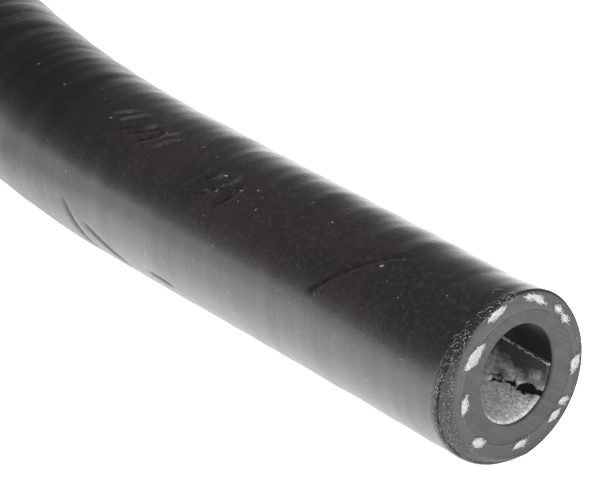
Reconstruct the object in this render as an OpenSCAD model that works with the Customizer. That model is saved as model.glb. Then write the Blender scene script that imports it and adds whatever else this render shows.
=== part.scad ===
// Thick-walled rubber gas tubing, one length of it, lying flat with its spare length in a coil.
// The wall is built up as on the real hose: a rubber lining, reinforcing yarns laid over it,
// and a rubber cover moulded round the yarns.
// Origin: centre of the bore at the near mouth, which faces -Y. +Z is up, units are mm.

/* [Hose wall] */
// Diameter of the bore that the gas runs through
bore_d = 8; // [6:0.5:10]
// Thickness of the lining
lining_wall = 1.5; // [1.2:0.1:2.5]
// Nominal thickness of the cover
cover_wall = 1.5; // [1.4:0.1:2.5]
// How far the cover sits off the bore's centre, to the left when looking into the near mouth
cover_off_side = 0.4; // [0:0.1:0.5]
// How far the cover sits off the bore's centre, downwards
cover_off_down = 0.2; // [0:0.1:0.3]

/* [Reinforcing yarns] */
// Diameter of one yarn
yarn_d = 0.7; // [0.4:0.05:0.7]
// Skin of cover rubber between the lining and the yarns
yarn_bed = 0.05; // [0.05:0.05:0.15]
// Room round a yarn in the rubber
yarn_play = 0.02; // [0.01:0.01:0.03]
// Places of the yarns round the wall in degrees, anticlockwise from the right of the near mouth
yarn_places = [106, 77, 65, 45, 33, -7, -33, -46, -80, -127, -171, 140];

/* [Length and lie] */
// Length of the hose along its bore
tube_length = 1000; // [800:50:1200]
// Straight stretch behind the near mouth
near_straight = 42; // [30:1:60]
// Radius of the gentle bend to the right that follows
bend_r = 137; // [110:1:180]
// Angle of that bend
bend_angle = 16; // [8:1:20]
// Straight stretch from the bend to the coil
lead_straight = 20; // [15:1:40]
// Number of half turns in the coil
half_turns = 4; // [3:1:5]
// Gap between neighbouring turns of the coil
turn_gap = 0.5; // [0.3:0.1:2]
// How much tighter the last half turn is wound, which leaves room to plug the far mouth
end_tuck = 5; // [4:0.5:7]
// Straight stretch at the far mouth
far_straight = 15; // [12:1:20]

/* [Rough edge of the near cut] */
// How far back the torn bevel of the cover's edge reaches at its deepest place
bevel_back = 1.0; // [0.5:0.1:1.5]
// How far the bevel sits off the bore's centre, to the right, so that it is widest on the left
bevel_off_side = 0.9; // [0.6:0.1:1.2]
// How far the bevel sits off the bore's centre, upwards
bevel_off_up = 0.3; // [0:0.1:0.4]
// Flat land between the outermost yarn and the bevel
bevel_land = 0.1; // [0.1:0.05:0.3]

/* [Hidden] */
$fn = 48;

bore_r = bore_d / 2;
lining_r = bore_r + lining_wall;
yarn_ring_r = lining_r + yarn_bed + yarn_play + yarn_d / 2;
cover_r = lining_r + cover_wall;
outside_d = 2 * cover_r;

turn_pitch = outside_d + turn_gap;
bend_length = bend_r * bend_angle * PI / 180;
coil_length = tube_length - near_straight - bend_length - lead_straight - far_straight;

// Radius of the coil's first half turn, from the length that the coil takes up, to 0.01 mm.
// Each half turn after it is half a pitch tighter, and the last one is tucked in as well.
mean_r = (coil_length / PI + end_tuck) / half_turns;
coil_r = round(100 * (mean_r + (half_turns - 1) * turn_pitch / 4)) / 100;
function turn_r(i) = coil_r - i * turn_pitch / 2 - (i == half_turns - 1 ? end_tuck : 0);

// Where half turn i starts, sideways from the start of the coil
function turn_start(i) = i == 0 ? 0 : turn_start(i - 1) + (i % 2 == 0 ? 2 : -2) * turn_r(i - 1);

// The bevel starts outside the yarns and is widest where the two offsets add up
bevel_r = yarn_ring_r + yarn_d / 2 + bevel_land + bevel_off_side;
bevel_off_cover = norm([bevel_off_side + cover_off_side, bevel_off_up + cover_off_down]);
bevel_width = cover_r + bevel_off_cover - bevel_r;

// A straight stretch of the hose from the origin towards +Y, from a flat section that has
// x to the right and y up
module straight(length) {
    translate([0, length, 0]) rotate([90, 0, 0]) linear_extrude(length) children();
}

// A stretch from the origin that turns left by an angle, at a radius
module left_turn(r, angle) {
    translate([-r, 0, 0]) rotate_extrude(angle = angle) translate([r, 0]) children();
}

// Puts what it holds at the end of the gentle bend to the right, heading on along the hose
module past_right_bend() {
    translate([bend_r, 0, 0]) rotate([0, 0, -bend_angle]) translate([-bend_r, 0, 0]) children();
}

// The gentle bend to the right, made too long and then cut square to the hose at its end
module right_bend() {
    intersection() {
        mirror([1, 0, 0]) left_turn(bend_r, 2 * bend_angle) mirror([1, 0]) children();
        past_right_bend()
            translate([-bend_r, -bend_r, -outside_d]) cube([2 * bend_r, bend_r, 2 * outside_d]);
    }
}

// The uncoiled stretch, from the near mouth to the coil
module run_out() {
    straight(near_straight) children();
    translate([0, near_straight, 0]) {
        right_bend() children();
        past_right_bend() straight(lead_straight) children();
    }
}

// Puts what it holds where half turn i starts, heading on along the hose
module at_turn(i) {
    translate([0, near_straight, 0]) past_right_bend()
        translate([turn_start(i), lead_straight, 0]) rotate([0, 0, 180 * i]) children();
}

module coil() {
    for (i = [0 : half_turns - 1])
        at_turn(i) left_turn(turn_r(i), 180) children();
}

module far_end() {
    at_turn(half_turns) straight(far_straight) children();
}

// The yarns in section, or the channels that hold them when given some play
module yarn_section(play = 0) {
    for (place = yarn_places)
        rotate(place) translate([yarn_ring_r, 0]) circle(yarn_d / 2 + play);
}

module lining_section() {
    difference() {
        circle(lining_r);
        circle(bore_r);
    }
}

module cover_section() {
    difference() {
        translate([-cover_off_side, -cover_off_down]) circle(cover_r);
        circle(lining_r);
    }
}

module channelled_section() {
    difference() {
        cover_section();
        yarn_section(yarn_play);
    }
}

// A ring with a sloping side that takes the bevel off the near edge of the cover
module near_bevel() {
    translate([bevel_off_side, 0, bevel_off_up]) rotate([-90, 0, 0]) rotate_extrude()
        polygon([
            [bevel_r, 0],
            [bevel_r, -bevel_back],
            [bevel_r + 2 * bevel_width, -bevel_back],
            [bevel_r + 2 * bevel_width, 2 * bevel_back]
        ]);
}

module lining() {
    color("#454545") {
        run_out() lining_section();
        coil() lining_section();
        far_end() lining_section();
    }
}

// The yarns of the uncoiled stretch and of the far end. Inside the coil they are one with the cover.
module yarns() {
    color("#e9e7e1") {
        run_out() yarn_section();
        far_end() yarn_section();
    }
}

module cover() {
    color("#2a282a") difference() {
        union() {
            run_out() channelled_section();
            coil() cover_section();
            far_end() channelled_section();
        }
        near_bevel();
    }
}

lining();
yarns();
cover();
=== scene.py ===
import math

import bmesh
import bpy
import numpy as np
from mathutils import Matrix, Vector


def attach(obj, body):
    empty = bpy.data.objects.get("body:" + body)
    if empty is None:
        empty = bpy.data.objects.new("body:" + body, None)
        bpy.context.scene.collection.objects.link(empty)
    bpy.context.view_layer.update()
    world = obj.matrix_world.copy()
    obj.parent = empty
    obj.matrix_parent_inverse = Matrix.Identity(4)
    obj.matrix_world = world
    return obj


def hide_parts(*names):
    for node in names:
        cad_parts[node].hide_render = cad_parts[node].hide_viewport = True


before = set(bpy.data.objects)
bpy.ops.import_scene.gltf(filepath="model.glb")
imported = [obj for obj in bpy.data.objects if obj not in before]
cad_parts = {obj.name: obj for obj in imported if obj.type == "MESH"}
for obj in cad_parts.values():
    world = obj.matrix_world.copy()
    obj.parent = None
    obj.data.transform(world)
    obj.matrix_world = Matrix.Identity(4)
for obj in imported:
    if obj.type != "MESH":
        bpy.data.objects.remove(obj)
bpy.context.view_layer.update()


# Small helpers
# Sizes and places are in millimetres, which MM turns into Blender's metres.
MM = 0.001


def added(name, data):
    """A new object of the scene that holds this data."""
    piece = bpy.data.objects.new(name, data)
    bpy.context.scene.collection.objects.link(piece)
    return piece


def mark_points(mesh, name, values):
    """Stores one number or one vector for each point of a mesh."""
    values = np.asarray(values, dtype=np.float32)
    kind, field = ("FLOAT", "value") if values.ndim == 1 else ("FLOAT_VECTOR", "vector")
    mesh.attributes.new(name, kind, "POINT").data.foreach_set(field, values.ravel())


def shade_smooth(mesh):
    mesh.polygons.foreach_set("use_smooth", [True] * len(mesh.polygons))


# Camera
# It looks down on the near mouth from the front left, close by and with a long lens, so that the
# hose leaves the picture at its top left corner. Its angles are in degrees.
camera_place = (-192.52, -212.49, 151.98)
camera_right_of_hose = 38.9
camera_dip = 26.23
camera = added("camera", bpy.data.cameras.new("camera"))
camera.data.sensor_width = 36
camera.data.lens = 257.6
camera.data.clip_start = 0.01
camera.location = [MM * c for c in camera_place]
camera.rotation_euler = (math.radians(90 - camera_dip), 0, math.radians(-camera_right_of_hose))
bpy.context.scene.camera = camera


# Lie of the hose
# One metre of hose lies flat: straight behind the near mouth, a gentle bend to the right, then its
# spare length wound to the left in four half turns that tighten by half a pitch each.
near_straight = 42.0
bend_radius = 137.0
bend_angle = math.radians(16)
lead_straight = 20.0
turn_radii = (82.53, 75.28, 68.03, 55.78)
far_straight = 15.0

# Each leg of the hose has a length and a curvature, which is positive where it turns left
legs = [(near_straight, 0.0), (bend_radius * bend_angle, -1 / bend_radius), (lead_straight, 0.0)]
legs += [(math.pi * radius, 1 / radius) for radius in turn_radii]
legs.append((far_straight, 0.0))
hose_length = sum(length for length, curvature in legs)


def hose_line(along):
    """Where the bore's centre is at one length along the hose, and which way the hose heads there."""
    x, y, heading = 0.0, 0.0, 0.0
    for number, (length, curvature) in enumerate(legs):
        last = number == len(legs) - 1
        run = along if last else min(along, length)
        if curvature:
            turned = heading + curvature * run
            x += (math.cos(turned) - math.cos(heading)) / curvature
            y += (math.sin(turned) - math.sin(heading)) / curvature
            heading = turned
        else:
            x -= run * math.sin(heading)
            y += run * math.cos(heading)
        along -= run
        if along <= 0 and not last:
            break
    return x, y, heading


def on_hose(right, up, along):
    """Points of the hose in metres, from places across its section and lengths along it."""
    right, up, along = np.broadcast_arrays(right, up, along)
    places = []
    for r, u, a in zip(right.ravel(), up.ravel(), along.ravel()):
        x, y, heading = hose_line(a)
        places.append((x + r * math.cos(heading), y + r * math.sin(heading), u))
    return np.array(places) * MM


route_step = 5.0
route_stops = np.append(np.arange(0.0, hose_length, route_step), hose_length)
centre_line = [tuple(p) for p in on_hose(0.0, 0.0, route_stops)]


# Rubber layers
# Both layers of the wall are long closed tubes: rings of points follow the hose out along the
# layer's outside, across the far cut, back along its inside and across the near cut.
def bands(first, second):
    """Faces between two rings of points, of which one may have twice as many points as the other."""
    n, m = len(first), len(second)
    faces = []
    if n == m:
        for i in range(n):
            j = (i + 1) % n
            faces.append((first[i], second[i], second[j], first[j]))
    elif n > m:
        for i in range(m):
            a, b, c = first[2 * i], first[2 * i + 1], first[(2 * i + 2) % n]
            p, q = second[i], second[(i + 1) % m]
            faces += [(a, p, b), (b, p, q), (b, q, c)]
    else:
        for i in range(n):
            a, b, c = second[2 * i], second[2 * i + 1], second[(2 * i + 2) % m]
            p, q = first[i], first[(i + 1) % n]
            faces += [(p, a, b), (p, b, q), (q, b, c)]
    return faces


def knit(name, rings):
    """A closed layer from its rings. A ring holds across, up and along values for its points, in
    millimetres of the unbent hose, then how much each belongs to the cut face and to the tear."""
    counts = np.cumsum([0] + [len(ring) for ring in rings])
    faces = []
    for i in range(len(rings)):
        j = (i + 1) % len(rings)
        faces += bands(list(range(counts[i], counts[i + 1])), list(range(counts[j], counts[j + 1])))
    points = np.vstack(rings)
    mesh = bpy.data.meshes.new(name)
    mesh.from_pydata([tuple(p) for p in on_hose(points[:, 0], points[:, 1], points[:, 2])], [], faces)
    mark_points(mesh, "unbent", points[:, [0, 2, 1]])
    for column, mark in ((3, "cut"), (4, "torn")):
        mark_points(mesh, mark, points[:, column] if column < points.shape[1] else np.zeros(len(points)))
    shade_smooth(mesh)
    return added(name, mesh)


def round_angles(n):
    return 2 * math.pi * np.arange(n) / n


def ring(right, up, along, cut=0.0):
    """One ring of points from their places across the section, all at one length along the hose."""
    same = np.ones(len(right))
    return np.stack([right, up, along * same, cut * same], axis=1)


def round_ring(n, radius, along, off=(0.0, 0.0), cut=0.0):
    angle = round_angles(n)
    return ring(off[0] + radius * np.cos(angle), off[1] + radius * np.sin(angle), along, cut)


# Node trees
# Small makers of nodes, for the surface trees and the material trees of the pieces below. A value
# is a number, a tuple or another node's output.
def put(tree, kind, values=None, **settings):
    """Adds a node, with its settings and the values or links of its inputs."""
    node = tree.nodes.new(kind)
    for setting, value in settings.items():
        setattr(node, setting, value)
    for socket, value in (values or {}).items():
        if isinstance(value, bpy.types.NodeSocket):
            tree.links.new(value, node.inputs[socket])
        else:
            node.inputs[socket].default_value = value
    return node


def grouped(tree, kind, group, values):
    """Adds a node that runs another tree, and hands back what that puts out."""
    return put(tree, kind, values, node_tree=group).outputs[0]


def calc(tree, operation, a, b, clamp=False):
    return put(tree, "ShaderNodeMath", {0: a, 1: b}, operation=operation, use_clamp=clamp).outputs[0]


def across(tree, operation, a, b=(0.0, 0.0, 0.0)):
    node = put(tree, "ShaderNodeVectorMath", {0: a, 1: b}, operation=operation)
    return node.outputs["Value" if operation in ("LENGTH", "DOT_PRODUCT") else 0]


def times(tree, a, b):
    return calc(tree, "MULTIPLY", a, b)


def plus(tree, a, b):
    return calc(tree, "ADD", a, b)


def less(tree, a, b):
    return calc(tree, "SUBTRACT", a, b)


def scaled(tree, vector, amount):
    values = {0: vector, "Scale": amount}
    return put(tree, "ShaderNodeVectorMath", values, operation="SCALE").outputs[0]


def vector_of(tree, x=0.0, y=0.0, z=0.0):
    return put(tree, "ShaderNodeCombineXYZ", {0: x, 1: y, 2: z}).outputs[0]


def parts_of(tree, vector):
    return put(tree, "ShaderNodeSeparateXYZ", {0: vector}).outputs


def step_between(tree, value, low, high):
    """Smoothly from 0 at low to 1 at high."""
    values = {"Value": value, "From Min": low, "From Max": high}
    return put(tree, "ShaderNodeMapRange", values, interpolation_type="SMOOTHSTEP").outputs[0]


def mixed(tree, amount, first, second):
    """A blend of two colours, or of two numbers. The node has a pair of inputs for each kind."""
    if any(isinstance(end, tuple) or getattr(end, "type", "") == "RGBA" for end in (first, second)):
        node = put(tree, "ShaderNodeMix", {0: amount, 6: first, 7: second}, data_type="RGBA")
        return node.outputs[2]
    return put(tree, "ShaderNodeMix", {0: amount, 2: first, 3: second}).outputs[0]


def noise(tree, place, stretch, detail):
    """Noise from 0 to 1 whose lumps are as long as stretch says, in the units of place."""
    scale = tuple(1 / s for s in stretch)
    values = {"Vector": across(tree, "MULTIPLY", place, scale), "Scale": 1.0, "Detail": detail}
    return put(tree, "ShaderNodeTexNoise", values).outputs[0]


def sockets(tree, direction, kinds):
    """Gives a tree its inputs or its outputs, from their names and kinds."""
    for name, kind in kinds.items():
        tree.interface.new_socket(name, in_out=direction, socket_type="NodeSocket" + kind)


def line_group():
    """A ridge or a furrow along a line on the hose, given by its ends in mm along the bore and mm
    round the surface. It puts out 1 on the line, and falls to 0 at its width and towards its ends."""
    tree = bpy.data.node_groups.new("line on hose", "GeometryNodeTree")
    sockets(tree, "INPUT", {"Place": "Vector", "Start": "Vector", "End": "Vector", "Width": "Float"})
    sockets(tree, "OUTPUT", {"Amount": "Float"})
    given = put(tree, "NodeGroupInput").outputs
    reach = across(tree, "SUBTRACT", given["End"], given["Start"])
    offset = across(tree, "SUBTRACT", given["Place"], given["Start"])
    share = calc(tree, "DIVIDE", across(tree, "DOT_PRODUCT", offset, reach),
                 across(tree, "DOT_PRODUCT", reach, reach), clamp=True)
    nearest = scaled(tree, reach, share)
    away = across(tree, "LENGTH", across(tree, "SUBTRACT", offset, nearest))
    beside = step_between(tree, calc(tree, "DIVIDE", away, given["Width"]), 1.0, 0.0)
    ends = times(tree, share, less(tree, 1.0, share))
    fade = calc(tree, "POWER", times(tree, ends, 4.0), 0.4)
    amount = times(tree, beside, plus(tree, times(tree, fade, 0.8), 0.2))
    put(tree, "NodeGroupOutput", {"Amount": amount})
    return tree


line_on_hose = line_group()


def attribute(tree, name, kind="FLOAT"):
    return put(tree, "GeometryNodeInputNamedAttribute", {"Name": name}, data_type=kind).outputs[0]


def unrolled(tree, centre):
    """Place on the unrolled surface: mm along the bore, and the angle round it from its right."""
    unbent = parts_of(tree, attribute(tree, "unbent", "FLOAT_VECTOR"))
    right = less(tree, unbent[0], centre[0])
    up = less(tree, unbent[2], centre[1])
    return unbent[1], calc(tree, "ARCTAN2", up, right)


def relief_tree(name, offset_of, inputs):
    """A tree that moves a surface along its normals by the millimetres that offset_of works out. It
    stores the marks that offset_of names for the surface's material."""
    tree = bpy.data.node_groups.new(name, "GeometryNodeTree")
    sockets(tree, "INPUT", {"Geometry": "Geometry"})
    sockets(tree, "INPUT", dict.fromkeys(inputs, "Float"))
    sockets(tree, "OUTPUT", {"Geometry": "Geometry"})
    given = put(tree, "NodeGroupInput").outputs
    height, marks = offset_of(tree, given)
    normal = put(tree, "GeometryNodeInputNormal").outputs[0]
    move = scaled(tree, normal, times(tree, height, MM))
    whole = given["Geometry"]
    for mark, value in marks.items():
        whole = put(tree, "GeometryNodeStoreNamedAttribute",
                    {"Geometry": whole, "Name": mark, "Value": value}).outputs[0]
    moved = put(tree, "GeometryNodeSetPosition", {"Geometry": whole, "Offset": move})
    put(tree, "NodeGroupOutput", {"Geometry": moved.outputs[0]})
    return tree


def bake(piece, tree, values):
    """Gives a piece the result of a tree as its plain mesh. The values go in by their inputs' names."""
    modifier = piece.modifiers.new(tree.name, "NODES")
    modifier.node_group = tree
    for item in tree.interface.items_tree:
        if item.item_type == "SOCKET" and item.in_out == "INPUT" and item.name in values:
            modifier[item.identifier] = values[item.name]
    result = piece.evaluated_get(bpy.context.evaluated_depsgraph_get())
    mesh = bpy.data.meshes.new_from_object(result, depsgraph=bpy.context.evaluated_depsgraph_get())
    piece.modifiers.remove(modifier)
    piece.data = mesh


# Cover
# The outer layer is soft black rubber, extruded round the reinforcement and cured under a tape,
# which leaves shallow rings all along it. Handling has wrinkled it, and the near cut has torn its
# rim back in a rough bevel on the left.
lining_radius = 5.5
cover_radius = 7.0
cover_off = (-0.4, -0.2)
bevel_off = (0.9, 0.3)
bevel_radius = 7.27
bevel_width = 1.12
bevel_depth = 1.0

# The dressed cuts lie a hair in front of the plain ends of the yarns
cut_back = -0.03

# Rings lie close together over the near stretch and at the far end, and far apart round the coil
near_points = 256
near_ring_gap = 0.33
near_detail = 74.0
far_detail = 14.0
coil_ring_gap = 3.0

# The rim is rounded a little, and its face has rings of its own
rim_round = 0.05
face_ring_gap = 0.1

# How long the lumps of the tape's rings are across, along and up
tape_rings = (16.0, 2.3, 16.0)

# The knife has spread the top of the near rim a little
flare_height = 0.42
flare_reach = 4.5
flare_place = math.radians(72)
flare_spread = math.radians(34)

# Where the rim is only frayed, from the bevel's end to the top, and how much
fringe_from = math.radians(88)
fringe_to = math.radians(165)
fringe_amount = 0.8
fringe_reach = 0.5

# The tear is rough from this depth on, and it pulls the rings behind it back as far as this
rough_from = 0.12
torn_reach = 6.0


def torn_back(right, up):
    """How far the torn bevel lies behind the near cut, at a place on the face."""
    past_bevel = np.hypot(right - bevel_off[0], up - bevel_off[1]) - bevel_radius
    return np.maximum(0, past_bevel) * (bevel_depth / bevel_width)


def cover_ring(n, radius, along, cut=0.0):
    """A ring of the cover, whose place moves from the bore's centre at the lining to its own."""
    share = (radius - lining_radius) / (cover_radius - lining_radius)
    points = round_ring(n, radius, along, (cover_off[0] * share, cover_off[1] * share), cut)
    angle = round_angles(n)
    flare = flare_height * max(0.0, 1 - max(0.0, along) / flare_reach) ** 2 * share ** 2
    flare = flare * np.exp(-((angle - flare_place) / flare_spread) ** 2)
    points[:, 0] += flare * np.cos(angle)
    points[:, 1] += flare * np.sin(angle)
    torn = torn_back(points[:, 0], points[:, 1])
    points[:, 2] += torn * max(0.0, 1 - along / torn_reach)
    near = along < fringe_reach
    rough = np.clip(torn / rough_from, 0, 1) * near
    frayed = (share > 0.9) * near * (angle > fringe_from) * (angle < fringe_to)
    return np.column_stack([points, np.maximum(rough, fringe_amount * frayed)])


def cover_rings():
    """The cover's rings, finest where the photo shows it. The rows hold how many points a ring has
    and where rings lie along the hose."""
    fine, middling, coarse, coarsest = [near_points // part for part in (1, 2, 4, 8)]
    far = hose_length - cut_back
    coil_end = hose_length - far_detail
    rim = cover_radius - rim_round
    outside = [
        (fine, (cut_back + 0.06, cut_back + 0.16)),
        (fine, np.arange(0.4, near_detail, near_ring_gap)),
        (middling, (near_detail + 0.4, near_detail + 1.0)),
        (coarse, np.arange(near_detail + 2, coil_end, coil_ring_gap)),
        (middling, np.arange(coil_end, hose_length - 0.2, 0.5)),
        (middling, (far - 0.06,)),
    ]
    far_face = list(np.arange(cover_radius - 0.12, lining_radius, -0.15)) + [lining_radius]
    inside = [
        (coarse, (far - 0.5,)),
        (coarsest, np.arange(far - 1, 1.5, -coil_ring_gap)),
        (coarse, (1.2,)),
        (middling, (0.9,)),
        (fine, (0.6,)),
    ]
    outermost = cover_radius - face_ring_gap
    near_face = list(np.arange(lining_radius, outermost, face_ring_gap)) + [outermost]
    rings = [cover_ring(fine, rim, cut_back, 0.6)]
    rings += [cover_ring(n, cover_radius, a) for n, alongs in outside for a in alongs]
    rings += [cover_ring(middling, rim, far, 0.6)]
    rings += [cover_ring(middling, r, far, 1.0) for r in far_face]
    rings += [cover_ring(n, lining_radius, a) for n, alongs in inside for a in alongs]
    rings += [cover_ring(fine, r, cut_back, 1.0) for r in near_face]
    return rings


cover = knit("cover_rubber", cover_rings())

# Wrinkles of the near stretch, as mm along and degrees round from the right at both ends of each,
# then the height of the ridge or the depth of the furrow and its width, both in mm
wrinkles = [
    (47.9, 185, 45.9, 224, -0.12, 0.50), (45.4, 197, 41.1, 220, -0.14, 0.50),
    (37.5, 210, 34.4, 212, -0.14, 0.40), (46.4, 113, 44.9, 101, 0.10, 0.30),
    (45.5, 116, 43.4, 99, 0.11, 0.30), (42.5, 113, 41.8, 104, 0.12, 0.28),
    (43.2, 119, 41.1, 105, -0.13, 0.32), (42.2, 123, 40.8, 113, -0.13, 0.30),
    (40.8, 114, 40.6, 106, -0.12, 0.30), (40.5, 112, 39.2, 102, 0.10, 0.28),
    (40.0, 121, 38.6, 106, 0.13, 0.26), (44.6, 122, 43.3, 112, -0.08, 0.30),
    (32.0, 121, 31.6, 113, 0.11, 0.24), (30.1, 117, 30.1, 109, 0.11, 0.24),
    (32.4, 134, 30.4, 120, -0.15, 0.34), (30.2, 136, 29.1, 124, -0.15, 0.32),
    (29.1, 124, 29.0, 114, -0.14, 0.30), (32.2, 130, 31.3, 128, 0.10, 0.22),
    (33.4, 128, 32.4, 118, -0.09, 0.30), (31.2, 127, 30.4, 117, 0.08, 0.24),
    (16.6, 154, 14.9, 137, -0.14, 0.42), (14.9, 137, 13.2, 122, -0.17, 0.40),
    (13.2, 122, 10.6, 102, -0.11, 0.34),
]

# Pale scuffs, as mm along and degrees round at both ends and the width in mm
scuffs = [
    (31.8, 118, 31.2, 112, 0.12), (29.2, 119, 28.6, 117, 0.14), (27.5, 113, 27.2, 110, 0.18),
    (26.9, 118, 26.3, 115, 0.12), (27.2, 125, 26.8, 122, 0.12), (11.9, 120, 11.3, 115, 0.18),
    (12.6, 119, 12.3, 117, 0.13), (46.6, 118, 46.2, 116, 0.15), (10.9, 112, 10.7, 111, 0.12),
]


def line_marks(tree, flat, line, radius):
    """How much each place holds of a line on a surface of this radius. The line has mm along and
    degrees round at both ends, and its width in mm."""
    *ends, width = line
    start, end = [(along, math.radians(turn) * radius, 0.0) for along, turn in (ends[:2], ends[2:])]
    values = {"Start": start, "End": end, "Width": width, "Place": flat}
    return grouped(tree, "GeometryNodeGroup", line_on_hose, values)


def cover_offset(tree, given):
    place = attribute(tree, "unbent", "FLOAT_VECTOR")
    along, turn = unrolled(tree, cover_off)
    strong = mixed(tree, step_between(tree, parts_of(tree, place)[0], -6.0, 2.0), 0.45, 1.0)
    marks = times(tree, less(tree, noise(tree, place, tape_rings, 1.0), 0.5), strong)
    swell = less(tree, noise(tree, place, (9.0, 14.0, 9.0), 1.0), 0.5)
    total = plus(tree, times(tree, marks, given["Ring height"]), times(tree, swell, given["Unevenness"]))
    crest = furrow = 0.0
    arc = times(tree, calc(tree, "FLOORED_MODULO", turn, 2 * math.pi), cover_radius)
    flat = vector_of(tree, along, arc)
    for *ends, height, width in wrinkles:
        line = line_marks(tree, flat, (*ends, width), cover_radius)
        total = plus(tree, total, times(tree, line, height))
        if height > 0:
            crest = calc(tree, "MAXIMUM", line, crest)
        else:
            furrow = calc(tree, "MAXIMUM", line, furrow)
    scuffed = 0.0
    for line in scuffs:
        scuffed = calc(tree, "MAXIMUM", line_marks(tree, flat, line, cover_radius), scuffed)
    kept = less(tree, 1.0, attribute(tree, "cut"))
    return times(tree, total, kept), {"crest": crest, "furrow": furrow, "scuff": scuffed}


cover_shape = {"Ring height": 0.26, "Unevenness": 0.28}
bake(cover, relief_tree("cover relief", cover_offset, cover_shape), cover_shape)
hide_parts("cover")
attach(cover, "root")


# Rubber finishes
# The same black compound looks dark and satiny where the mould and the tape left it, paler and
# matt where a knife cut it, and speckled where it tore. Dust and lint cling to all of it.
def shader_value(tree, name):
    return put(tree, "ShaderNodeAttribute", attribute_name=name).outputs["Fac"]


def shader_place(tree):
    return put(tree, "ShaderNodeAttribute", attribute_name="unbent").outputs["Vector"]


def dust_group():
    """Specks of dust of many sizes, on a share of the cells. It puts out 1 in a speck and 0 beside it."""
    tree = bpy.data.node_groups.new("dust specks", "ShaderNodeTree")
    sockets(tree, "INPUT", {"Place": "Vector", "Spacing": "Float", "Size": "Float", "Share": "Float"})
    sockets(tree, "OUTPUT", {"Speck": "Float"})
    given = put(tree, "NodeGroupInput").outputs
    turns = calc(tree, "DIVIDE", 1.0, given["Spacing"])
    warp = {"Vector": given["Place"], "Scale": 6.0, "Detail": 2.0}
    warp = put(tree, "ShaderNodeTexNoise", warp).outputs[1]
    place = across(tree, "ADD", given["Place"], scaled(tree, warp, 0.25))
    cells = put(tree, "ShaderNodeTexVoronoi", {"Vector": place, "Scale": turns}).outputs
    chosen = put(tree, "ShaderNodeSeparateColor", {0: cells["Color"]}).outputs
    size = times(tree, times(tree, given["Size"], turns), chosen[1])
    inside = calc(tree, "LESS_THAN", cells["Distance"], size)
    kept = calc(tree, "LESS_THAN", chosen[0], given["Share"])
    put(tree, "NodeGroupOutput", {"Speck": times(tree, inside, kept)})
    return tree


dust_specks = dust_group()


def dust(tree, place, spacing, size, share):
    values = {"Place": place, "Spacing": spacing, "Size": size, "Share": share}
    return grouped(tree, "ShaderNodeGroup", dust_specks, values)


def grey(tone):
    return (tone, tone, tone, 1.0)


def new_material(name, roughness, specular):
    """A material whose tree holds only a shader and its output."""
    material = bpy.data.materials.new(name)
    material.use_nodes = True
    tree = material.node_tree
    shader = tree.nodes["Principled BSDF"]
    shader.inputs["Roughness"].default_value = roughness
    shader.inputs["Specular IOR Level"].default_value = specular
    return material, tree, shader


def bump(tree, height, distance):
    values = {"Strength": 1.0, "Distance": distance * MM, "Height": height}
    return put(tree, "ShaderNodeBump", values).outputs[0]


def paint(piece, material):
    piece.data.materials.clear()
    piece.data.materials.append(material)


def cover_skin(tree, place, painted_far_shade):
    """The uncut skin: black with a purple tint in patches, and painted shade that turns it blacker
    towards the coil.
    """
    satin = (0.0092, 0.0072, 0.0089, 1.0)
    purplish = (0.0128, 0.0078, 0.0120, 1.0)
    dusty = (0.0190, 0.0168, 0.0185, 1.0)
    patches = step_between(tree, noise(tree, place, (6.0, 10.0, 6.0), 2.0), 0.44, 0.56)
    mottle = step_between(tree, noise(tree, place, (0.42, 0.42, 0.42), 5.0), 0.48, 0.66)
    skin = mixed(tree, mottle, mixed(tree, patches, satin, purplish), dusty)
    return mixed(tree, painted_far_shade, skin, grey(0.002))


def rim_band(tree, place, cut):
    """The dark, rough outermost band of a cut face, with a ragged inner edge."""
    middle = (cover_off[0], 0.0, cover_off[1])
    clumps = noise(tree, place, (1.1, 1.1, 1.1), 3.0)
    parts = parts_of(tree, across(tree, "SUBTRACT", place, middle))
    flat = vector_of(tree, parts[0], parts[2])
    out = plus(tree, across(tree, "LENGTH", flat), times(tree, clumps, 0.9))
    return times(tree, step_between(tree, out, 6.60, 7.00), step_between(tree, cut, 0.3, 0.6))


def skin_height(tree, place, along):
    """Fine streaks of the skin in mm, and the tape's rings where the mesh is too coarse for them."""
    coil = step_between(tree, along, near_detail - 3, near_detail + 6)
    rings = times(tree, noise(tree, place, tape_rings, 1.0), times(tree, coil, 0.16))
    streaks = times(tree, noise(tree, place, (2.6, 0.32, 2.6), 3.0), 0.020)
    fine = times(tree, noise(tree, place, (0.20, 0.15, 0.20), 4.0), 0.026)
    return plus(tree, rings, plus(tree, streaks, fine))


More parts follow.
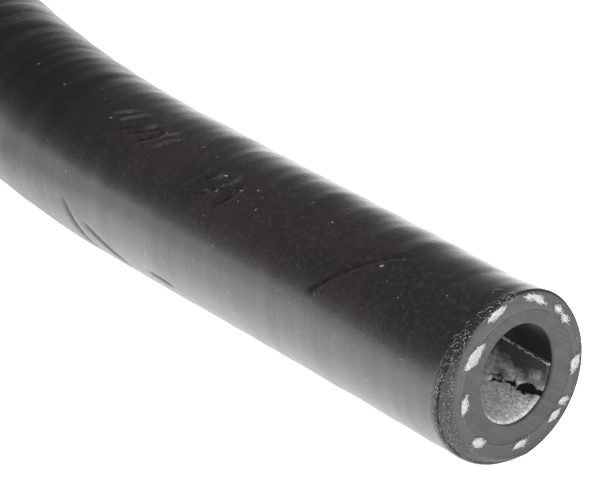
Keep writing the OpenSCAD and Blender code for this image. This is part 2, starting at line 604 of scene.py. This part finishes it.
def cover_finish():
    sawn, sawn_dark, band_dark, torn_dark = grey(0.058), grey(0.035), grey(0.020), grey(0.010)
    dust_tone, scuff_tone = grey(0.15), grey(0.30)
    crest_tone = (0.14, 0.13, 0.14, 1.0)
    pale = (0.42, 0.42, 0.41, 1.0)
    material, tree, shader = new_material("cover rubber", 0.34, 0.8)
    shader.inputs["Sheen Roughness"].default_value = 0.35
    shader.inputs["Coat Roughness"].default_value = 0.22
    place = shader_place(tree)
    along = parts_of(tree, place)[1]
    cut = shader_value(tree, "cut")
    torn = shader_value(tree, "torn")
    # Painted shade: from 40 to 58 mm along, towards the coil, the skin is painted blacker and loses its
    # sheen and part of its coat.
    painted_far_shade = step_between(tree, along, 40.0, 58.0)
    grain = noise(tree, place, (0.35, 0.35, 0.35), 4.0)
    edge = rim_band(tree, place, cut)
    face = mixed(tree, edge, mixed(tree, times(tree, grain, 0.7), sawn, sawn_dark), band_dark)
    base = mixed(tree, step_between(tree, cut, 0.3, 0.9), cover_skin(tree, place, painted_far_shade), face)
    base = mixed(tree, torn, base, torn_dark)
    # The crests of the wrinkles are paler, in broken streaks.
    crest_breakup = step_between(tree, noise(tree, place, (0.35, 0.5, 0.35), 3.0), 0.30, 0.58)
    crest = times(tree, shader_value(tree, "crest"), crest_breakup)
    base = mixed(tree, times(tree, crest, 0.4), base, crest_tone)
    fine_dust = dust(tree, place, 1.2, 0.13, 0.7)
    rough_dust = dust(tree, place, 0.20, 0.062, calc(tree, "MAXIMUM", torn, edge))
    cut_dust = dust(tree, place, 0.5, 0.07, times(tree, cut, 0.35))
    base = mixed(tree, times(tree, fine_dust, 0.8), base, dust_tone)
    specks = calc(tree, "MAXIMUM", rough_dust, cut_dust)
    scuff = step_between(tree, times(tree, shader_value(tree, "scuff"), grain), 0.16, 0.34)
    base = mixed(tree, times(tree, scuff, 0.7), base, scuff_tone)
    tree.links.new(mixed(tree, specks, base, pale), shader.inputs["Base Color"])
    rough = mixed(tree, noise(tree, place, (3.0, 5.0, 3.0), 3.0), 0.32, 0.48)
    rough = mixed(tree, calc(tree, "MAXIMUM", cut, torn), rough, 0.72)
    tree.links.new(mixed(tree, specks, rough, 0.9), shader.inputs["Roughness"])
    # Painted shade in the furrows of the wrinkles: there the sheen, the coat and the specular reflection
    # drop to a tenth.
    furrow_shade_factor = less(tree, 1.0, times(tree, shader_value(tree, "furrow"), 0.9))
    bloom = mixed(tree, painted_far_shade, 0.12, 0.0)
    coat = mixed(tree, painted_far_shade, 0.6, 0.25)
    for amount, socket in ((bloom, "Sheen Weight"), (coat, "Coat Weight"), (0.8, "Specular IOR Level")):
        tree.links.new(times(tree, amount, furrow_shade_factor), shader.inputs[socket])
    height = mixed(tree, cut, skin_height(tree, place, along),
                   times(tree, noise(tree, place, (0.30, 0.30, 0.30), 4.0), 0.10))
    torn_height = times(tree, noise(tree, place, (0.22, 0.22, 0.22), 4.0), 0.25)
    height = plus(tree, mixed(tree, torn, height, torn_height), times(tree, specks, 0.03))
    tree.links.new(bump(tree, height, 1.0), shader.inputs["Normal"])
    return material


paint(cover, cover_finish())


# Lining
# The inner tube is a paler, harder rubber. The knife pressed it oval at the near mouth and left
# fine straight marks on its cut face.
bore_radius = 4.0
oval_right = 3.68
oval_up = 4.22
oval_off = (-0.05, 0.22)
oval_depth = 14.0
lining_gap = 0.006


def bore_wall(angle, along, sunk=0.0):
    """Place across the section of a point on the bore's wall, or a little way into the rubber. The
    bore is oval at the near mouth and round from the oval's depth on."""
    oval = np.maximum(0.0, 1 - along / oval_depth) ** 2
    wide = bore_radius + sunk + (oval_right - bore_radius) * oval
    high = bore_radius + sunk + (oval_up - bore_radius) * oval
    return oval_off[0] * oval + wide * np.cos(angle), oval_off[1] * oval + high * np.sin(angle)


def bore_ring(n, along):
    return ring(*bore_wall(round_angles(n), along), along)


def face_rings(along, inner, outer, count):
    """Rings of a cut face from its inner ring to its outer one."""
    rings = []
    for share in np.linspace(0, 1, count):
        points = inner * (1 - share) + outer * share
        points[:, 2] = along
        points[:, 3] = 1.0
        rings.append(points)
    return rings


def lining_rings():
    fine, middling, coarse = 128, 64, 32
    outer_radius = lining_radius - lining_gap
    far = hose_length - cut_back
    outside = [
        (fine, (cut_back + 0.3, 0.8)),
        (middling, (1.4,)),
        (coarse, np.arange(2.5, hose_length - 3, coil_ring_gap)),
        (middling, (far - 1.0,)),
        (fine, (far - 0.4,)),
    ]
    inside = [
        (fine, far - 0.2 - np.arange(0.0, 12.0, 0.5)),
        (middling, np.arange(hose_length - 14, 16, -coil_ring_gap)),
        (fine, np.arange(15.0, 0.15, -0.35)),
    ]
    outer = round_ring(fine, outer_radius, 0.0)
    rings = [round_ring(n, outer_radius, a) for n, alongs in outside for a in alongs]
    rings += face_rings(far, bore_ring(fine, far), outer, 9)[::-1]
    rings += [bore_ring(n, a) for n, alongs in inside for a in alongs]
    rings += face_rings(cut_back, bore_ring(fine, 0.05), outer, 12)
    return rings


lining = knit("lining_rubber", lining_rings())


def lining_offset(tree, given):
    place = attribute(tree, "unbent", "FLOAT_VECTOR")
    lumps = less(tree, noise(tree, place, (2.2, 3.0, 2.2), 2.0), 0.5)
    return times(tree, lumps, given["Unevenness"]), {}


lining_shape = {"Unevenness": 0.08}
bake(lining, relief_tree("lining relief", lining_offset, lining_shape), lining_shape)


def lining_finish():
    knife_cut = (0.112, 0.112, 0.110, 1.0)
    knife_dark = grey(0.078)
    bore_black = grey(0.009)
    pale = (0.40, 0.40, 0.39, 1.0)
    material, tree, shader = new_material("lining rubber", 0.55, 0.4)
    place = shader_place(tree)
    cut = step_between(tree, shader_value(tree, "cut"), 0.2, 0.6)
    knife_way = math.radians(-38)
    turned = put(tree, "ShaderNodeVectorRotate", {0: place, "Angle": knife_way}, rotation_type="Y_AXIS")
    knife = noise(tree, turned.outputs[0], (7.0, 5.0, 0.16), 3.0)
    mottle = noise(tree, place, (1.4, 1.4, 1.4), 4.0)
    shade = plus(tree, times(tree, knife, 0.6), times(tree, mottle, 0.4))
    face = mixed(tree, step_between(tree, shade, 0.35, 0.65), knife_dark, knife_cut)
    base = mixed(tree, cut, bore_black, face)
    specks = dust(tree, place, 0.9, 0.11, times(tree, cut, 0.22))
    tree.links.new(mixed(tree, specks, base, pale), shader.inputs["Base Color"])
    fine = times(tree, noise(tree, place, (0.3, 0.3, 0.3), 4.0), 0.03)
    height = plus(tree, times(tree, knife, 0.05), fine)
    tree.links.new(bump(tree, height, 1.0), shader.inputs["Normal"])
    return material


paint(lining, lining_finish())
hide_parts("lining")
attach(lining, "root")


# Deposit
# A dry grey crust has formed in the near end of the bore, on its lower right side. It ends upwards
# in a straight edge along the hose, and a ragged crack and small pits in it show the black wall.
crust_top = -3.0
crust_span = 200.0
crust_mouth = 0.25
crust_depth = 13.0
crust_thickness = 0.20
crust_sunk = 0.04
crust_back = 0.1
crust_step = 0.1

# The crust thins out towards its mouth, its deep end, its straight edge and its lower edge
crust_fades = (0.15, 3.0, 0.03, 0.3)

# The crack and its branches, as mm along the bore, degrees from the right, and the width in mm of
# the stretch that ends there
cracks = [
    [(5.6, -56, 0.14), (4.1, -48, 0.24), (2.8, -46.5, 0.30), (1.9, -45, 0.55), (0.9, -43.5, 0.55),
     (0.2, -42, 0.40)],
    [(6.2, -51, 0.12), (5.0, -47, 0.20), (4.2, -45, 0.12)],
    [(3.4, -51, 0.12), (2.4, -51, 0.22), (1.6, -50, 0.15)],
    [(2.2, -40, 0.10), (1.4, -38, 0.16), (0.8, -39, 0.12)],
]


def crust_mesh():
    alongs = np.arange(crust_mouth, crust_depth, crust_step)
    turns = np.radians(crust_top - np.arange(0, crust_span, math.degrees(crust_step / bore_radius)))
    along, turn = np.meshgrid(alongs, turns, indexing="ij")
    sides = []
    for sunk in (crust_sunk, crust_sunk + crust_back):
        right, up = bore_wall(turn, along, sunk)
        sides.append(np.stack([right.ravel(), along.ravel(), up.ravel()], axis=1))
    places = np.vstack(sides)
    rows, columns = along.shape
    under = rows * columns
    faces = []
    for i in range(rows - 1):
        for j in range(columns - 1):
            a = i * columns + j
            faces.append((a, a + columns, a + columns + 1, a + 1))
            faces.append((a + under, a + under + 1, a + under + columns + 1, a + under + columns))
    for i in range(rows - 1):
        for a, b in ((i * columns, (i + 1) * columns), ((i + 2) * columns - 1, (i + 1) * columns - 1)):
            faces.append((a, a + under, b + under, b))
    last = (rows - 1) * columns
    for j in range(columns - 1):
        faces.append((j, j + 1, j + 1 + under, j + under))
        faces.append((last + j, last + j + under, last + j + 1 + under, last + j + 1))
    mesh = bpy.data.meshes.new("bore_deposit")
    mesh.from_pydata([tuple(p * MM) for p in places], [], faces)
    mark_points(mesh, "unbent", places)
    edges = (along - crust_mouth, crust_depth - along, turn.max() - turn, turn - turn.min())
    raised = np.min([edge / fade for edge, fade in zip(edges, crust_fades)], axis=0)
    mark_points(mesh, "raised", np.concatenate([np.clip(raised, 0, 1).ravel(), np.zeros(under)]))
    shade_smooth(mesh)
    return mesh


crust = added("bore_deposit", crust_mesh())


def crust_offset(tree, given):
    place = attribute(tree, "unbent", "FLOAT_VECTOR")
    along, turn = unrolled(tree, (0.0, 0.0))
    flat = vector_of(tree, along, times(tree, turn, bore_radius))
    ragged = put(tree, "ShaderNodeTexNoise", {"Vector": place, "Scale": 2.4, "Detail": 8.0}).outputs[1]
    bent = across(tree, "ADD", flat, across(tree, "SUBTRACT", ragged, (0.5, 0.5, 0.5)))
    gap = 0.0
    for crack in cracks:
        for start, end in zip(crack, crack[1:]):
            line = line_marks(tree, bent, (*start[:2], *end), bore_radius)
            gap = calc(tree, "MAXIMUM", line, gap)
    open_crack = step_between(tree, gap, 0.14, 0.30)
    pitted = step_between(tree, noise(tree, place, (0.35, 0.22, 0.35), 3.0), 0.66, 0.72)
    pits = times(tree, pitted, step_between(tree, along, 3.2, 0.8))
    kept = less(tree, 1.0, calc(tree, "MAXIMUM", open_crack, pits))
    lumps = times(tree, noise(tree, place, (0.8, 1.2, 0.8), 4.0), 0.12)
    height = plus(tree, given["Thickness"], lumps)
    return times(tree, times(tree, height, kept), attribute(tree, "raised")), {}


crust_shape = {"Thickness": crust_thickness}
bake(crust, relief_tree("crust relief", crust_offset, crust_shape), crust_shape)


def crust_finish():
    dry = (0.96, 0.98, 0.955, 1.0)
    mid = (0.58, 0.605, 0.58, 1.0)
    dark_flecks_and_shade = grey(0.06)
    material, tree, shader = new_material("grey deposit", 0.85, 0.2)
    place = shader_place(tree)
    parts = parts_of(tree, place)
    turn = calc(tree, "ARCTAN2", parts[2], parts[0])
    shift = less(tree, noise(tree, place, (1.3, 2.0, 1.3), 5.0), 0.5)
    low = plus(tree, times(tree, turn, -1.0), times(tree, shift, 1.6))
    depth = plus(tree, parts[1], times(tree, shift, 5.0))
    # Painted light and shade: the crust is painted paler lower round the bore and dark along its straight
    # upper edge, darker in a wider band near the mouth where the rim's shadow falls, and darker deeper in
    # the bore.
    pale = mixed(tree, step_between(tree, low, 0.6, 1.4), 0.62, 1.0)
    mouth = times(tree, step_between(tree, low, 0.75, 0.35), step_between(tree, depth, 3.6, 2.2))
    top = step_between(tree, low, 0.80, 0.30)
    painted_crust_shade = calc(tree, "MAXIMUM", times(tree, mouth, 0.85), times(tree, top, 0.94))
    tone = times(tree, pale, less(tree, 1.0, painted_crust_shade))
    tone = times(tree, tone, mixed(tree, step_between(tree, depth, 5.0, 10.0), 1.0, 0.6))
    fine = noise(tree, place, (0.16, 0.45, 0.16), 5.0)
    light = mixed(tree, step_between(tree, fine, 0.35, 0.65), mid, dry)
    flecks = step_between(tree, noise(tree, place, (0.11, 0.30, 0.11), 3.0), 0.60, 0.68)
    # Its dark grey stands both for dark flecks in the crust and for its painted shade.
    base = mixed(tree, times(tree, flecks, 0.8), mixed(tree, tone, dark_flecks_and_shade, light), dark_flecks_and_shade)
    above, below = [
        step_between(tree, turn, math.radians(crust_top + start), math.radians(crust_top + end))
        for start, end in ((-2.2, -1.2), (1.0, 0.0))]
    rim = times(tree, times(tree, above, below), step_between(tree, fine, 0.40, 0.60))
    tree.links.new(mixed(tree, times(tree, rim, 0.7), base, dry), shader.inputs["Base Color"])
    tree.links.new(bump(tree, fine, 0.10), shader.inputs["Normal"])
    return material


paint(crust, crust_finish())
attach(crust, "root")


# Yarns
# Twelve strands of white cotton lie between the rubber layers. The knife has frayed their ends,
# which spread over the cut as flat tufts of fine fibre.
tuft_rise = 0.13

# The tufts of the near cut: degrees round from the right, distance from the bore's centre, then the
# length of the tuft round the wall, its width across the wall and its turn from that line
near_tufts = [
    (81, 6.52, 0.95, 0.42, -14), (72, 6.32, 1.50, 0.50, -24), (49, 5.99, 0.95, 0.42, -7),
    (37, 5.82, 1.00, 0.50, -5), (-7, 5.87, 1.50, 0.75, -20), (-37, 5.90, 0.85, 0.50, -42),
    (-50, 5.95, 1.25, 0.50, -5), (-86, 5.92, 1.25, 0.50, 9), (-132, 5.77, 1.20, 0.75, 26),
    (-173, 5.35, 1.45, 0.55, -18), (145, 5.40, 2.40, 0.92, -11), (111, 6.50, 1.90, 0.52, 2),
]

# The far cut is out of the photo, so its tufts lie at the same angles round the bore, all of one size and
# at one distance from its centre, and turn alternately one way and the other
far_tufts = [(tuft[0], 5.92, 1.15, 0.66, 8 * (-1) ** number) for number, tuft in enumerate(near_tufts)]


def tuft_mesh(ends):
    """Lens-shaped pads on a cut face, with the way that their fibres lie."""
    shape = bmesh.new()
    bmesh.ops.create_icosphere(shape, subdivisions=3, radius=1.0)
    a, b, c = np.array([v.co for v in shape.verts]).T
    pad_faces = [[v.index for v in reversed(f.verts)] for f in shape.faces]
    shape.free()
    b = b * np.sqrt(np.clip(1 - a * a, 0.02, 1))
    rise = tuft_rise * c
    points, faces, grains, unbents = [], [], [], []
    for tufts, along in ends:
        base = on_hose(0.0, 0.0, along)[0]
        for place, radius, length, width, turn in tufts:
            lie = math.radians(place + 90 + turn)
            long_way, short_way = a * length / 2, b * width / 2
            right = radius * math.cos(math.radians(place)) + (
                long_way * math.cos(lie) - short_way * math.sin(lie))
            up = radius * math.sin(math.radians(place)) + (
                long_way * math.sin(lie) + short_way * math.cos(lie))
            faces += [[i + len(points) for i in f] for f in pad_faces]
            points += [tuple(p) for p in on_hose(right, up, along + rise)]
            unbents += list(zip(right, along + rise, up))
            grain = on_hose(math.cos(lie), math.sin(lie), along)[0] - base
            grains += [grain / np.linalg.norm(grain)] * len(a)
    mesh = bpy.data.meshes.new("frayed_yarn_ends")
    mesh.from_pydata(points, [], faces)
    mark_points(mesh, "grain", grains)
    mark_points(mesh, "unbent", unbents)
    shade_smooth(mesh)
    return mesh


def yarn_finish():
    white = (0.98, 0.98, 0.97, 1.0)
    shaded = (0.72, 0.72, 0.71, 1.0)
    material, tree, shader = new_material("white cotton", 0.8, 0.2)
    place = put(tree, "ShaderNodeTexCoord").outputs["Object"]
    strands = {"Vector": place, "Scale": 9000.0, "Detail": 3.0}
    strands = put(tree, "ShaderNodeTexNoise", strands).outputs[0]
    base = mixed(tree, step_between(tree, strands, 0.35, 0.60), shaded, white)
    tree.links.new(base, shader.inputs["Base Color"])
    tree.links.new(bump(tree, strands, 0.05), shader.inputs["Normal"])
    return material


cotton = yarn_finish()
yarn_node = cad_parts["yarns"]
paint(yarn_node, cotton)
tuft_ends = [(near_tufts, cut_back), (far_tufts, hose_length - cut_back)]
tufts = added("frayed_yarn_ends", tuft_mesh(tuft_ends))


def fibre_shape(tree, given):
    """One bent fibre of three sides, with its middle at the origin and lying along X."""
    length = times(tree, given["Length"], MM / 2)
    bend = times(tree, given["Bend"], MM)
    ends = [vector_of(tree, times(tree, length, -1.0)), vector_of(tree, length)]
    arc = put(tree, "GeometryNodeCurveQuadraticBezier", {
        "Resolution": 5, "Start": ends[0], "Middle": vector_of(tree, 0.0, bend), "End": ends[1]})
    outline = put(tree, "GeometryNodeCurvePrimitiveCircle", {
        "Resolution": 3, "Radius": times(tree, given["Thickness"], MM / 2)})
    return put(tree, "GeometryNodeCurveToMesh", {
        "Curve": arc.outputs[0], "Profile Curve": outline.outputs[0], "Fill Caps": True}).outputs[0]


def fibre_tree(name, material, keep_base, chosen=None):
    """Bent fibres scattered over a roughened surface and lying the way of its grain. The attribute
    that chosen names says how much of them each place holds."""
    tree = bpy.data.node_groups.new(name, "GeometryNodeTree")
    measures = ("Density", "Length", "Bend", "Thickness", "Spread", "Lift", "Roughness")
    sockets(tree, "INPUT", {"Geometry": "Geometry"})
    sockets(tree, "INPUT", dict.fromkeys(measures, "Float"))
    sockets(tree, "INPUT", {"Seed": "Int"})
    sockets(tree, "OUTPUT", {"Geometry": "Geometry"})
    given = put(tree, "NodeGroupInput").outputs
    seed, spread, lift = given["Seed"], given["Spread"], given["Lift"]
    normal = put(tree, "GeometryNodeInputNormal").outputs[0]
    rough = {"Vector": put(tree, "GeometryNodeInputPosition").outputs[0], "Scale": 6000.0, "Detail": 2.0}
    rough = less(tree, put(tree, "ShaderNodeTexNoise", rough).outputs[0], 0.5)
    push = scaled(tree, normal, times(tree, times(tree, rough, given["Roughness"]), MM))
    base = put(tree, "GeometryNodeSetPosition", {"Geometry": given["Geometry"], "Offset": push})
    per_metre = times(tree, given["Density"], 1e6)
    if chosen:
        per_metre = times(tree, per_metre, attribute(tree, chosen))
    scatter = put(tree, "GeometryNodeDistributePointsOnFaces", {
        "Mesh": base.outputs[0], "Density": per_metre, "Seed": seed}).outputs
    along_grain = put(tree, "FunctionNodeAlignRotationToVector", {
        "Rotation": scatter["Rotation"], "Vector": attribute(tree, "grain", "FLOAT_VECTOR")},
        axis="X", pivot_axis="Z").outputs[0]
    low = vector_of(tree, -3.14, times(tree, lift, -1.0), times(tree, spread, -1.0))
    high = vector_of(tree, 3.14, lift, spread)
    swing = put(tree, "FunctionNodeRandomValue", {0: low, 1: high, "Seed": seed},
                data_type="FLOAT_VECTOR")
    swung = put(tree, "FunctionNodeRotateRotation", {0: along_grain, 1: swing.outputs[0]},
                rotation_space="LOCAL").outputs[0]
    size = put(tree, "FunctionNodeRandomValue", {2: 0.5, 3: 1.4, "Seed": seed}, data_type="FLOAT")
    laid = put(tree, "GeometryNodeInstanceOnPoints", {
        "Points": scatter["Points"], "Instance": fibre_shape(tree, given), "Rotation": swung,
        "Scale": size.outputs[1]}).outputs[0]
    whole = put(tree, "GeometryNodeJoinGeometry")
    tree.links.new(put(tree, "GeometryNodeRealizeInstances", {0: laid}).outputs[0], whole.inputs[0])
    if keep_base:
        tree.links.new(base.outputs[0], whole.inputs[0])
    done = put(tree, "GeometryNodeSetMaterial", {"Geometry": whole.outputs[0], "Material": material})
    put(tree, "NodeGroupOutput", {"Geometry": done.outputs[0]})
    return tree


bake(tufts, fibre_tree("frayed cotton", cotton, True), {
    "Density": 55.0, "Length": 0.62, "Bend": 0.16, "Thickness": 0.035,
    "Spread": 0.55, "Lift": 0.30, "Roughness": 0.22, "Seed": 4})
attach(tufts, "root")


# Lint
# Short hairs of pale lint cling to the torn rim of the cover. There is less of it on the skin just
# behind the rim, in mm along and degrees round, less still on the cut face, and a little anywhere.
lint_reach = 2.5
lint_from = 85
lint_to = 215
lint_beside = 0.12
lint_on_face = 0.05
lint_anywhere = 0.0012


def lint_finish():
    material, tree, shader = new_material("pale lint", 0.8, 0.2)
    shader.inputs["Base Color"].default_value = (0.55, 0.55, 0.54, 1.0)
    return material


def lint_bed():
    """A copy of the cover, with how much lint each place holds and a grain round the hose."""
    mesh = cover.data.copy()
    count = len(mesh.vertices)
    unbent = np.zeros(count * 3, dtype=np.float32)
    mesh.attributes["unbent"].data.foreach_get("vector", unbent)
    right, along, up = unbent.reshape(-1, 3).T
    torn = np.zeros(count, dtype=np.float32)
    mesh.attributes["torn"].data.foreach_get("value", torn)
    turn = np.degrees(np.arctan2(up, right)) % 360
    radius = np.hypot(right - cover_off[0], up - cover_off[1])
    outside = radius > 6.6
    beside = outside * np.clip(1 - along / lint_reach, 0, 1) * (turn > lint_from) * (turn < lint_to)
    face = (radius < 6.9) * (along < 0.5)
    held = torn + lint_beside * beside + lint_on_face * face + lint_anywhere * outside
    mark_points(mesh, "lint", np.clip(held, 0, 1))
    turn = np.radians(turn)
    mark_points(mesh, "grain", np.stack([-np.sin(turn), np.full(count, 0.3), np.cos(turn)], axis=1))
    return mesh


lint = added("lint", lint_bed())
bake(lint, fibre_tree("lint hairs", lint_finish(), False, "lint"), {
    "Density": 11.0, "Length": 0.52, "Bend": 0.09, "Thickness": 0.015,
    "Spread": 1.2, "Lift": 0.22, "Roughness": 0.0, "Seed": 11})
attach(lint, "root")


# Studio
# A plain white floor and a white surround, one broad soft lamp above and behind the hose and a weak
# one in front, so that the side towards the camera stays dark.
floor_glow = 0.96


def floor_finish():
    material = bpy.data.materials.new("white floor")
    material.use_nodes = True
    tree = material.node_tree
    tree.nodes.clear()
    path = put(tree, "ShaderNodeLightPath").outputs
    seen = calc(tree, "ADD", plus(tree, path["Is Camera Ray"], path["Is Glossy Ray"]),
                path["Is Transmission Ray"], clamp=True)
    matt = put(tree, "ShaderNodeBsdfDiffuse", {"Color": (0.8, 0.8, 0.8, 1.0)}).outputs[0]
    glow = put(tree, "ShaderNodeEmission", {"Color": (1, 1, 1, 1), "Strength": floor_glow}).outputs[0]
    lit = put(tree, "ShaderNodeAddShader", {0: matt, 1: glow}).outputs[0]
    surface = put(tree, "ShaderNodeMixShader", {0: seen, 1: matt, 2: lit}).outputs[0]
    put(tree, "ShaderNodeOutputMaterial", {"Surface": surface})
    return material


floor_level = -(cover_radius - cover_off[1]) * MM
half_floor = 3.0
corners = [(x * half_floor, y * half_floor, floor_level) for x, y in ((-1, -1), (1, -1), (1, 1), (-1, 1))]
floor_mesh = bpy.data.meshes.new("floor")
floor_mesh.from_pydata(corners, [], [(0, 1, 2, 3)])
floor_mesh.materials.append(floor_finish())
floor = added("floor", floor_mesh)


def surround():
    """White to the camera and in reflections near the horizon, and a plain grey light elsewhere."""
    world = bpy.data.worlds.new("surround")
    bpy.context.scene.world = world
    world.use_nodes = True
    tree = world.node_tree
    tree.nodes.clear()
    path = put(tree, "ShaderNodeLightPath").outputs
    aim = put(tree, "ShaderNodeTexCoord").outputs["Generated"]
    parts = parts_of(tree, aim)
    lean = mixed(tree, step_between(tree, parts[0], -0.1, 0.1), 0.30, 0.06)
    level = less(tree, parts[2], times(tree, parts[0], lean))
    ceiling = mixed(tree, step_between(tree, level, 0.0, 0.30), 1.0, 0.12)
    glossy = calc(tree, "ADD", path["Is Glossy Ray"], path["Is Transmission Ray"], clamp=True)
    strength = mixed(tree, glossy, 0.55, ceiling)
    strength = mixed(tree, path["Is Camera Ray"], strength, 1.0)
    back = put(tree, "ShaderNodeBackground", {"Color": (1, 1, 1, 1), "Strength": strength}).outputs[0]
    put(tree, "ShaderNodeOutputWorld", {"Surface": back})


surround()


def lamp(name, place, aim, size, power):
    """A square soft lamp in metres and watts, aimed at a place. Rubber mirrors the surround alone."""
    light = bpy.data.lights.new(name, "AREA")
    light.size = size
    light.energy = power
    lamp_object = added(name, light)
    lamp_object.location = place
    direction = Vector(aim) - Vector(place)
    lamp_object.rotation_euler = direction.to_track_quat("-Z", "Y").to_euler()
    lamp_object.visible_glossy = False


lamp("softbox above", (-0.25, 0.15, 0.75), (-0.03, 0.05, 0.0), 0.8, 5.0)
lamp("softbox in front", (-0.25, -0.75, 0.35), (0.0, 0.0, 0.0), 0.4, 2.6)
bpy.context.scene.view_settings.view_transform = "Standard"

# The coil, which is out of the photo, isn't mirrored in the near stretch
for piece in (cover, lining, yarn_node):
    piece.visible_glossy = False
